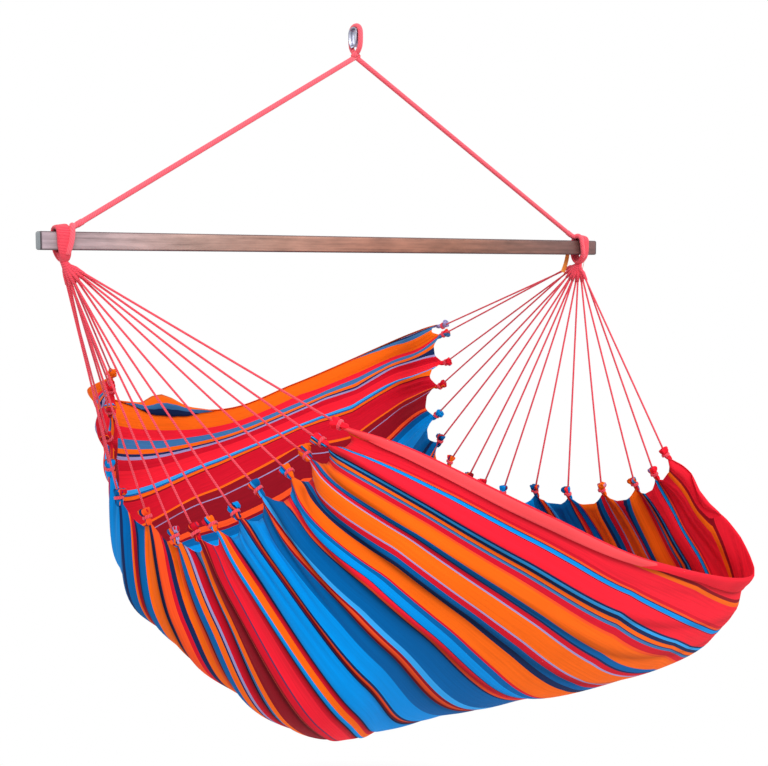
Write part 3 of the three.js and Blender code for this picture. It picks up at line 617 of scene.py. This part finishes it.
# The back edge stands up in a peak near its left end, and the front edge runs in a long S where
# it climbs to its right end. Both are given in mm, by their shares of the length.
PEAK_SHARES, PEAK_RISE = (0.19, 0.235, 0.262, 0.285, 0.31, 0.345, 0.40), (0, 5, 24, 30, 24, 8, 0)
SWAY_SHARES, SWAY = (0.79, 0.83, 0.86, 0.895, 0.92, 0.95, 0.975, 1.0), (0, 8, 5, -10, -10, 5, 6, 0)
rim_rise = np.interp(along, PEAK_SHARES, PEAK_RISE) * mm
rim_rise = rim_rise * np.clip((knots[:, None] - 14.1) / 0.9, 0, 1) ** 1.5
rim_sway = np.interp(along, SWAY_SHARES, SWAY) * mm
rim_sway = rim_sway * np.interp(knots, (0, 0.25, 0.8, 1.6), (1, 0.8, 0.3, 0))[:, None]
grid = grid + inward * lift[:, :, None] + np.array([0, 0, 1]) * rim_rise[:, :, None]
grid = grid + np.array([1, 0, 0]) * rim_sway[:, :, None]


# The warp runs from knot to knot, but the weave lies askew to the knots where the cloth was drawn
# round to the right: how far, in knot spacings, by knot (down) and by length (along).
SKEW_KNOTS = (0, 0.14, 0.3, 1, 2, 3, 4, 5, 6, 8, 10, 12, 13.3, 14, 14.5, 15)
SKEW_SHARES = (0, 0.15, 0.28, 0.33, 0.45, 0.60, 0.66, 0.72, 0.80, 0.885, 0.93, 1.0)
SKEW = (
    (0.10, 0.00, 0.00, 0.00, 0.00, 0.05, 0.12, 0.20, 0.35, -0.07, 0.10, 0.15),
    (0.02, -0.09, -0.10, -0.10, -0.03, 0.10, 0.18, 0.26, 0.42, 0.05, 0.22, 0.20),
    (0.03, -0.09, -0.10, -0.10, -0.03, 0.14, 0.25, 0.35, 0.48, 0.19, 0.24, 0.25),
    (0.15, 0.05, 0.02, 0.02, 0.01, 0.32, 0.45, 0.60, 0.80, 0.60, 0.55, 0.45),
    (0.25, -0.05, 0.04, 0.05, 0.16, 0.45, 0.75, 0.98, 1.15, 0.80, 0.75, 0.70),
    (0.35, -0.03, 0.09, 0.12, 0.25, 0.60, 0.85, 1.02, 1.20, 0.92, 0.90, 0.90),
    (0.38, 0.00, 0.02, 0.03, 0.05, 0.40, 0.65, 0.83, 1.00, 0.97, 0.93, 0.90),
    (0.10, 0.00, -0.05, -0.04, 0.00, 0.20, 0.38, 0.55, 0.90, 1.00, 1.00, 1.00),
    (0.00, 0.00, 0.00, 0.00, 0.00, 0.10, 0.22, 0.33, 0.50, 0.80, 0.85, 0.90),
    (0.00, 0.00, 0.00, 0.00, 0.00, 0.00, 0.06, 0.13, 0.30, 0.50, 0.50, 0.50),
    (0.00, 0.00, 0.00, 0.00, 0.00, 0.00, 0.03, 0.06, 0.15, 0.22, 0.25, 0.30),
    (0.00, 0.00, 0.00, 0.00, 0.00, 0.20, 0.30, 0.10, -0.15, -0.05, 0.05, 0.10),
    (0.60, 0.04, 0.00, 0.00, 0.00, 0.00, 0.00, 0.00, -0.25, -0.10, -0.10, -0.10),
    (1.10, 0.10, 0.00, 0.00, 0.00, 0.00, 0.00, 0.00, -0.10, 0.00, 0.00, 0.00),
    (1.20, 0.12, 0.05, 0.05, 0.10, 0.15, 0.20, 0.05, 0.00, -0.30, -0.45, -0.50),
    (0.12, 0.10, 0.08, 0.08, 0.08, 0.08, 0.08, 0.05, -0.08, -0.38, -0.50, -0.62),
)


def warp_place(knot, share):
    """Where a point of the sheet lies in the warp plan, in knot spacings from the front fold."""
    rows = np.array([np.interp(share, SKEW_SHARES, row) for row in SKEW])
    return knot - np.interp(knot, SKEW_KNOTS, rows)


# The front edge is turned over outwards in a soft lapel, wide near both ends. Where the edge
# climbs to the right end, it is turned inwards instead. Its widths, in knot spacings, are given by
# shares of the length.
LAPEL_SHARES = (0, 0.05, 0.10, 0.20, 0.30, 0.36, 0.42, 0.50, 0.60, 0.66, 0.72, 0.79, 0.83, 0.872,
                0.888, 0.908, 0.93, 0.95, 1.0)
LAPEL_WIDTHS = (0.10, 0.23, 0.27, 0.27, 0.23, 0.19, 0.15, 0.12, 0.17, 0.26, 0.37, 0.44, 0.26, 0.02,
                0.07, 0.20, 0.15, 0.01, 0.01)
# The back edge is folded over inwards in the same way, in one wide flap below its peak.
FLAP_SHARES = (0, 0.18, 0.21, 0.25, 0.29, 0.33, 0.38, 0.42, 1.0)
FLAP_WIDTHS = (0.03, 0.03, 0.14, 0.40, 0.46, 0.38, 0.16, 0.03, 0.03)
# How far the turned cloth stands off the sheet: outwards below 0, inwards above it. It is rolled,
# so it stands off nearly twice as far between its free side and the fold.
LAPEL_COLUMNS, TURNED_OUT, TURNED_IN, ROLL = 6, -2.8 * mm, 4.5 * mm, 0.8
shares = np.linspace(0, 1, ROWS)
normal_at = sheet_normals(grid)


def turned_edge(edge_shares, edge_widths, first, way, stand):
    """Columns of a turned edge from its free side to the fold. first is the fold's column, way
    is the step into the sheet, and stand is how far the turned part lies off it at each share."""
    made = np.zeros((LAPEL_COLUMNS, ROWS, 3))
    for step in range(LAPEL_COLUMNS):
        part = 1 - step / LAPEL_COLUMNS
        for row, share in enumerate(shares):
            deep = part * float(np.interp(share, edge_shares, edge_widths)) * COLUMNS_A_KNOT
            low = min(int(deep), columns - 2)
            near, far = grid[first + way * low, row], grid[first + way * (low + 1), row]
            proud = stand[row] * (1 + ROLL * math.sin(math.pi * min(part * 1.2, 1))) * min(deep / 0.6, 1)
            made[step, row] = near + (far - near) * (deep - low) + normal_at[first + way * low, row] * proud
    return made


lapel_stand = np.interp(shares, (0.872, 0.88), (TURNED_OUT, TURNED_IN))
lapel = turned_edge(LAPEL_SHARES, LAPEL_WIDTHS, 0, 1, lapel_stand)
flap = turned_edge(FLAP_SHARES, FLAP_WIDTHS, columns - 1, -1, np.full(ROWS, TURNED_IN))[::-1]
sheet = np.concatenate([lapel, grid, flap])
columns_all = sheet.shape[0]

# Each point's place in the warp plan, and how much painted shade darkens it. The lapel shows the hem's yarn
# up to a slanting line a little short of its middle, and red from there on, with painted shade towards the
# right end.
# The flap shows the yarns from 14.94 knot spacings on, slate and navy towards its free side, which partly
# stand in for the shade of the pocket under it, and painted shade darkens it more towards that side. A
# painted shadow line runs below the lapel's free side.
HEM_YARN, LAPEL_RED, FLAP_YARN, FLAP_YARN_SPAN = -0.62, -0.40, 14.94, 0.44
warp_at, shade_at = np.zeros(sheet.shape[:2]), np.zeros(sheet.shape[:2])
taper = 0.445 + 0.04 * np.arange(LAPEL_COLUMNS) / LAPEL_COLUMNS
to_edge = np.clip((np.linspace(0, 1, LAPEL_COLUMNS) - 0.2) / 0.8, 0, 1) ** 0.5
for row, share in enumerate(shares):
    warp_at[:LAPEL_COLUMNS, row] = np.where(share < taper, HEM_YARN, LAPEL_RED)
    shade_at[:LAPEL_COLUMNS, row] = np.interp(share, (0.47, 0.62, 0.86, 0.92), (0, 0.22, 0.22, 0.10))
    warp_at[LAPEL_COLUMNS:-LAPEL_COLUMNS, row] = [warp_place(knot, share) for knot in knots]
    free_side = float(np.interp(share, LAPEL_SHARES, LAPEL_WIDTHS)) + 0.02
    lapel_edge_painted_shadow = 0.9 * np.interp(share, (0.79, 0.86), (1, 0)) * np.exp(-((knots - free_side) / 0.05) ** 2)
    shade_at[LAPEL_COLUMNS:-LAPEL_COLUMNS, row] = crease_shade[:, row] + lapel_edge_painted_shadow
    flap_width = float(np.interp(share, FLAP_SHARES, FLAP_WIDTHS))
    warp_at[-LAPEL_COLUMNS:, row] = FLAP_YARN + FLAP_YARN_SPAN * min(flap_width / 0.3, 1) * to_edge
    shade_at[-LAPEL_COLUMNS:, row] = 1.9 * flap_width * to_edge
bm = bmesh.new()
uv = uv_layer(bm)
shade_layer = bm.verts.layers.float.new("crease")
bmesh.ops.create_grid(bm, x_segments=columns_all - 1, y_segments=ROWS - 1, size=0.5)
WARP_START, WARP_END, DARKEST = -1.0, 15.7, 1.2
for vert in bm.verts:
    column = round((vert.co.x + 0.5) * (columns_all - 1))
    row = round((vert.co.y + 0.5) * (ROWS - 1))
    vert.co = sheet[column, row]
    vert[shade_layer] = min(shade_at[column, row], DARKEST)
    for loop in vert.link_loops:
        loop[uv].uv = ((warp_at[column, row] - WARP_START) / (WARP_END - WARP_START), shares[row])
COTTON = {
    "orange": "ff6a12", "flame": "fc5424", "red": "fa2136", "crimson": "d8142c", "wine": "930f20",
    "hem": "fe5056", "sky": "36a6f2", "blue": "0090e6", "steel": "0062a8", "navy": "172a58",
    "lilac": "a399cc", "slate": "3f78b0", "plum": "6a3358",
}
# The warp plan from the turned front edge to the back edge: where each band starts, in knot
# spacings from the front fold, and the colour of its yarn.
WARP = [
    (-1.0, "hem"), (-0.5, "red"), (0.09, "wine"), (0.13, "orange"),
    (0.19, "red"), (0.49, "crimson"), (0.53, "flame"), (0.565, "navy"),
    (0.58, "blue"), (0.635, "wine"), (0.65, "red"), (0.92, "navy"), (0.945, "sky"), (0.985, "navy"),
    (1.04, "orange"), (1.11, "navy"), (1.125, "slate"), (1.17, "crimson"), (1.27, "flame"),
    (1.31, "orange"), (1.58, "steel"), (1.68, "navy"), (1.71, "crimson"), (1.77, "lilac"),
    (1.81, "orange"), (2.12, "lilac"), (2.16, "crimson"), (2.26, "steel"), (2.36, "navy"),
    (2.44, "orange"), (2.73, "crimson"), (2.76, "steel"), (2.84, "blue"), (2.98, "navy"), (3.00, "red"),
    (3.10, "flame"), (3.14, "navy"), (3.18, "steel"), (3.60, "sky"), (3.70, "wine"),
    (3.745, "flame"), (3.82, "wine"), (3.87, "steel"), (4.22, "blue"), (4.67, "navy"),
    (4.74, "flame"), (4.81, "wine"), (4.86, "navy"), (4.92, "blue"), (5.60, "navy"),
    (5.66, "crimson"), (5.79, "orange"), (5.94, "blue"), (6.05, "navy"), (6.12, "crimson"),
    (6.26, "red"), (6.62, "plum"), (6.66, "crimson"), (6.80, "wine"), (6.85, "flame"),
    (6.89, "wine"), (7.33, "orange"), (7.45, "slate"), (7.57, "navy"), (7.61, "crimson"),
    (7.77, "lilac"), (7.81, "navy"), (7.86, "orange"), (8.00, "steel"), (8.24, "wine"),
    (8.33, "flame"), (8.42, "orange"), (8.57, "navy"), (8.66, "crimson"), (8.74, "flame"),
    (8.93, "navy"), (9.04, "orange"), (9.36, "steel"), (9.54, "navy"), (9.60, "crimson"),
    (9.69, "orange"), (9.76, "steel"), (9.93, "navy"), (10.03, "steel"), (10.38, "blue"),
    (10.98, "steel"), (11.10, "wine"), (11.14, "flame"), (11.21, "wine"), (11.565, "lilac"),
    (11.60, "wine"), (11.735, "orange"), (11.785, "crimson"), (12.40, "wine"), (12.44, "orange"),
    (12.53, "wine"), (12.56, "steel"), (12.60, "sky"), (12.72, "red"), (13.20, "crimson"),
    (13.43, "lilac"), (13.52, "navy"), (13.57, "orange"), (13.70, "slate"), (13.94, "red"),
    (14.20, "orange"), (15.02, "slate"), (15.24, "navy"), (15.38, "lilac"),
]
# Woven cotton is matt, with hardly any sheen. Its dye has faded in patches, and painted shade from the crease
# attribute darkens it in the creases, folds, lapel and flap. A colour ramp holds 32 stops at most, so the
# plan is spread over several.
striped, tree, shader = material("striped_woven_cotton", Roughness=0.9, Sheen_Weight=0.03,
                                 Specular_IOR_Level=0.05)
uv_node = add(tree, "UVMap", uv_map="UVMap")
parts = add(tree, "SeparateXYZ", {0: uv_node})
bands = [((start - WARP_START) / (WARP_END - WARP_START), yarn) for start, yarn in WARP]
RAMP_STOPS = 30
colour = None
for first in range(0, len(bands), RAMP_STOPS):
    group = bands[first:first + RAMP_STOPS]
    low = group[0][0]
    high = bands[first + RAMP_STOPS][0] if first + RAMP_STOPS < len(bands) else 1.0
    inside = add(tree, "MapRange", {0: parts.outputs[0], 1: low, 2: high})
    ramp = add(tree, "ValToRGB", {0: inside})
    ramp.color_ramp.interpolation = "CONSTANT"
    elements = ramp.color_ramp.elements
    elements.remove(elements[1])
    elements[0].position, elements[0].color = 0.0, srgb(COTTON[group[0][1]])
    for at, yarn in group[1:]:
        stop = elements.new((at - low) / (high - low))
        stop.color = srgb(COTTON[yarn])
    if colour is None:
        colour = ramp.outputs[0]
    else:
        past = add(tree, "Math", {0: parts.outputs[0], 1: low}, operation="GREATER_THAN")
        colour = add(tree, "Mix", {0: past, 6: colour, 7: ramp}, data_type="RGBA").outputs[2]
where = add(tree, "TexCoord")
fade_noise = add(tree, "TexNoise", {"Vector": where.outputs["Object"], "Scale": 9.0, "Detail": 4.0})
worn = add(tree, "MapRange", {0: fade_noise, 3: 0.90, 4: 1.06})
# Single yarns differ a little in dye. They are drawn 3 mm wide, so that they show.
yarn_place = add(tree, "Mapping", {"Vector": uv_node, "Scale": (540.0, 9.0, 1.0)})
yarn_noise = add(tree, "TexNoise", {"Vector": yarn_place, "Scale": 1.0, "Detail": 2.0})
yarn_tone = add(tree, "MapRange", {0: yarn_noise, 1: 0.3, 2: 0.7, 3: 0.90, 4: 1.06})
# Painted shade: the crease attribute darkens the colour, to about a third at its darkest.
crease = add(tree, "Attribute", attribute_name="crease")
painted_crease_shade = add(tree, "MapRange", {0: crease.outputs["Fac"], 1: 0.0, 2: DARKEST, 3: 1.0, 4: 0.34})
tone = add(tree, "Math", {0: worn, 1: yarn_tone}, operation="MULTIPLY")
tone = add(tree, "Math", {0: tone, 1: painted_crease_shade}, operation="MULTIPLY")
dyed_and_shaded = add(tree, "Mix", {0: 1.0, 6: colour, 7: tone}, data_type="RGBA", blend_type="MULTIPLY")
tree.links.new(dyed_and_shaded.outputs[2], shader.inputs["Base Color"])
# The threads are drawn over 2 mm apart, about four times as coarse as they are, so that they show.
threads = add(tree, "Mapping", {"Vector": uv_node, "Scale": (620.0, 700.0, 1.0)})
weave = add(tree, "TexChecker", {"Vector": threads, "Scale": 1.0})
bump = add(tree, "Bump", {"Height": weave.outputs[1], "Distance": 0.25 * mm, "Strength": 0.35})
tree.links.new(bump.outputs[0], shader.inputs["Normal"])

CLOTH_THICKNESS = 1.6 * mm
cloth = piece("striped_sheet", bm, striped)
solid = cloth.modifiers.new("cloth thickness", "SOLIDIFY")
solid.thickness = CLOTH_THICKNESS
solid.offset = 0
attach(cloth, "seat")
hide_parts("seat_cloth")

# Tufts and hitches: at each knot the end of the cloth is drawn through in a small bunch, with two
# turns of the clew cord hitched round its neck. The left tufts are a little fuller than the right.
# Along the tuft from the knot, and its half width there, in mm.
TUFT_STATIONS = (
    (-18, 2.5), (-13, 4.6), (-8, 5.0), (-5, 4.9), (-2, 4.9), (2, 4.9), (4.5, 6.6), (8, 8.8),
    (11.5, 9.6), (14.5, 8.4), (15.5, 5.8), (13.5, 3.2), (11, 1.4),
)
TUFT_SIZE, TUFT_SIDES, TUFT_LEAN = {"left": 1.15, "right": 1.0}, 24, 4.5 * mm
# How many knot spacings of the warp plan a tuft shows in 10 mm. None shows the hem's yarn.
TUFT_YARNS, FIRST_TUFT_YARN = 0.26, 0.26
HITCH_RADIUS, HITCH_TURNS, HITCH_SPREAD, HITCH_SPANS = 6.9 * mm, 2, 5.2 * mm, 36
bm_tufts, bm_hitches = bmesh.new(), bmesh.new()
layer = uv_layer(bm_tufts)
sheet_along = sheet_normals(hung_cloth(knots, ROWS)[0])
for side, end in (("left", 0), ("right", ROWS - 1)):
    for knot in range(LAST_KNOT + 1):
        point = KNOTS[side][knot]
        root = Vector(grid[knot * COLUMNS_A_KNOT, end])
        into = (Vector(grid[knot * COLUMNS_A_KNOT, 3 if end == 0 else end - 3]) - root).normalized()
        cord_way = (CLEWS[side] - point).normalized()
        up = ((point - root).normalized() + cord_way).normalized()
        out = Vector(sheet_along[knot * COLUMNS_A_KNOT, end])
        far = (out - out.dot(up) * up).normalized()
        next_way = up.cross(far)
        size = TUFT_SIZE[side]
        turn = 2.4 * knot + (1.1 if side == "right" else 0)
        lean = (far * math.cos(turn) + next_way * math.sin(turn)) * TUFT_LEAN
        folds = 5 + knot % 3
        profile = []
        for j in range(TUFT_SIDES):
            angle = 2 * math.pi * j / TUFT_SIDES
            wave = 1 + 0.20 * math.cos(folds * angle + knot) + 0.07 * math.cos(2 * angle + 2 * knot)
            profile.append((wave * math.cos(angle), wave * math.sin(angle)))
        stations = []
        for run, half in TUFT_STATIONS:
            if run * mm < -TUFT_ROOT:
                stations.append(root - into * (run * mm + TUFT_ROOT))
            elif run < 0:
                stations.append(point.lerp(root, -run * mm / TUFT_ROOT))
            else:
                stations.append(point + up * run * size * mm + lean * min(run / 12, 1) ** 2)
        start = len(bm_tufts.verts)
        sweep(bm_tufts, stations, profile, across=far, swell=[half * size * mm for _, half in TUFT_STATIONS])
        bm_tufts.verts.ensure_lookup_table()
        middle_warp = warp_place(knot, 0.02 if end == 0 else 0.98)
        for vert in bm_tufts.verts[start:]:
            beside = (vert.co - point).dot(next_way) / (10 * mm)
            warp = max(middle_warp + TUFT_YARNS * beside * (1 if end == 0 else -1), FIRST_TUFT_YARN)
            for loop in vert.link_loops:
                loop[layer].uv = ((warp - WARP_START) / (WARP_END - WARP_START), 0.5)
        hitch = []
        for i in range(HITCH_SPANS + 1):
            angle = 2 * math.pi * HITCH_TURNS * i / HITCH_SPANS
            hitch.append(point + up * HITCH_SPREAD * (i / HITCH_SPANS - 0.5)
                         + (far * math.cos(angle) + next_way * math.sin(angle)) * HITCH_RADIUS * size)
        sweep(bm_hitches, hitch, round_profile(CORD_RADIUS, 7))
tufts = piece("cloth_tufts", bm_tufts, striped)
hitches = piece("cord_hitches", bm_hitches, cord_cotton)
for made, slot in ((tufts, "cloth"), (hitches, "clew_cord")):
    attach(made, "seat")

# Label ribbon: a bare strip of woven ribbon, orange and yellow, folded behind the right loop. Its
# two short tails show, and its fine ribs, about a third of a millimetre apart, give it a low gloss.
ribbon_weave, tree, shader = material("woven_ribbon", Roughness=0.55, Sheen_Weight=0.2)
where = add(tree, "TexCoord")
ridges = add(tree, "Mapping", {"Vector": where.outputs["Object"], "Scale": (900.0, 900.0, 900.0)})
ribs = add(tree, "TexWave", {"Vector": ridges, "Scale": 1.0}, bands_direction="Z")
tone = add(tree, "Mix", {0: ribs.outputs[1], 6: srgb("e8801c"), 7: srgb("f8a83c")}, data_type="RGBA")
tree.links.new(tone.outputs[2], shader.inputs["Base Color"])
bump = add(tree, "Bump", {"Height": ribs.outputs[1], "Distance": 0.1 * mm, "Strength": 0.4})
tree.links.new(bump.outputs[0], shader.inputs["Normal"])
# For each tail: its upper end's X, its lower end's X and Z and its half width, all in mm, and how
# far it is turned about the vertical.
TAILS = ((590, 575, -475, 6.4, 0.15), (643, 631, -482, 3.6, 0.9))
TAIL_BOW, TAIL_HALF_THICKNESS = 2.5 * mm, 0.3 * mm
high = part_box("label_ribbon")[1]
bm = bmesh.new()
for top_x, foot_x, foot_z, half, turned in TAILS:
    top, foot = Vector((top_x * mm, high.y, high.z)), Vector((foot_x * mm, high.y, foot_z * mm))
    line = [top.lerp(foot, t) - Vector((0, TAIL_BOW * math.sin(math.pi * t), 0))
            for t in (0, 0.2, 0.4, 0.6, 0.8, 1)]
    corners = ((-1, -1), (1, -1), (1, 1), (-1, 1))
    sweep(bm, line, [(a * half * mm, b * TAIL_HALF_THICKNESS) for a, b in corners],
          across=Vector((math.cos(turned), math.sin(turned), 0)))
ribbon = piece("bare_ribbon", bm, ribbon_weave, smooth=False)
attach(ribbon, "bar")
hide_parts("label_ribbon")

# Studio: a pale floor well below the seat, white to the camera further out, a large soft key light
# from the upper left of the camera and a weaker fill from the right, in an even white world.
FLOOR_Z, FLOOR_RADIUS = -1.90, 12
# Name, place, size in metres and power in watts, and the point that the lamps are turned to.
LAMPS = (("key", (-1.5, -2.9, 2.5), 2.0, 112), ("fill", (2.4, -2.3, 1.6), 2.4, 52))
LAMPS_AIM = Vector((0.1, 0, -0.9))


def seen(tree):
    """1 for what the camera sees, straight or in a gloss or through a clear part, and else 0."""
    rays = add(tree, "LightPath")
    either = rays.outputs["Is Camera Ray"]
    for other in ("Is Glossy Ray", "Is Transmission Ray"):
        either = add(tree, "Math", {0: either, 1: rays.outputs[other]}, operation="MAXIMUM").outputs[0]
    return either


floor_paint, tree, shader = material("pale_studio_floor", Base_Color=srgb("f0f0f0"), Roughness=0.9)
where = add(tree, "TexCoord")
flat = add(tree, "Mapping", {"Vector": where.outputs["Object"], "Scale": (1.0, 1.0, 0.0)})
distance = add(tree, "VectorMath", {0: flat}, operation="LENGTH")
outer = add(tree, "MapRange", {0: distance.outputs["Value"], 1: 0.55, 2: 1.05})
share = add(tree, "Math", {0: seen(tree), 1: outer}, operation="MULTIPLY")
white = add(tree, "Emission", {0: (1, 1, 1, 1), 1: 1.0})
mixed = add(tree, "MixShader", {0: share, 1: shader, 2: white})
tree.links.new(mixed.outputs[0], tree.nodes["Material Output"].inputs[0])
bm = bmesh.new()
bmesh.ops.create_circle(bm, cap_ends=True, segments=64, radius=FLOOR_RADIUS)
bmesh.ops.translate(bm, vec=(0, 0, FLOOR_Z), verts=bm.verts[:])
floor = piece("floor", bm, floor_paint, smooth=False)

world = bpy.data.worlds.new("studio")
bpy.context.scene.world = world
world.use_nodes = True
tree = world.node_tree
soft = add(tree, "Background", {0: (1, 1, 1, 1), 1: 0.70})
bright = add(tree, "Background", {0: (1, 1, 1, 1), 1: 1.0})
mixed = add(tree, "MixShader", {0: seen(tree), 1: soft, 2: bright})
tree.links.new(mixed.outputs[0], tree.nodes["World Output"].inputs[0])
for name, place, size, power in LAMPS:
    lamp = bpy.data.objects.new(name, bpy.data.lights.new(name, "AREA"))
    bpy.context.collection.objects.link(lamp)
    lamp.data.size = size
    lamp.data.energy = power
    lamp.location = place
    lamp.rotation_mode = "QUATERNION"
    lamp.rotation_quaternion = (LAMPS_AIM - Vector(place)).to_track_quat("-Z", "Y")
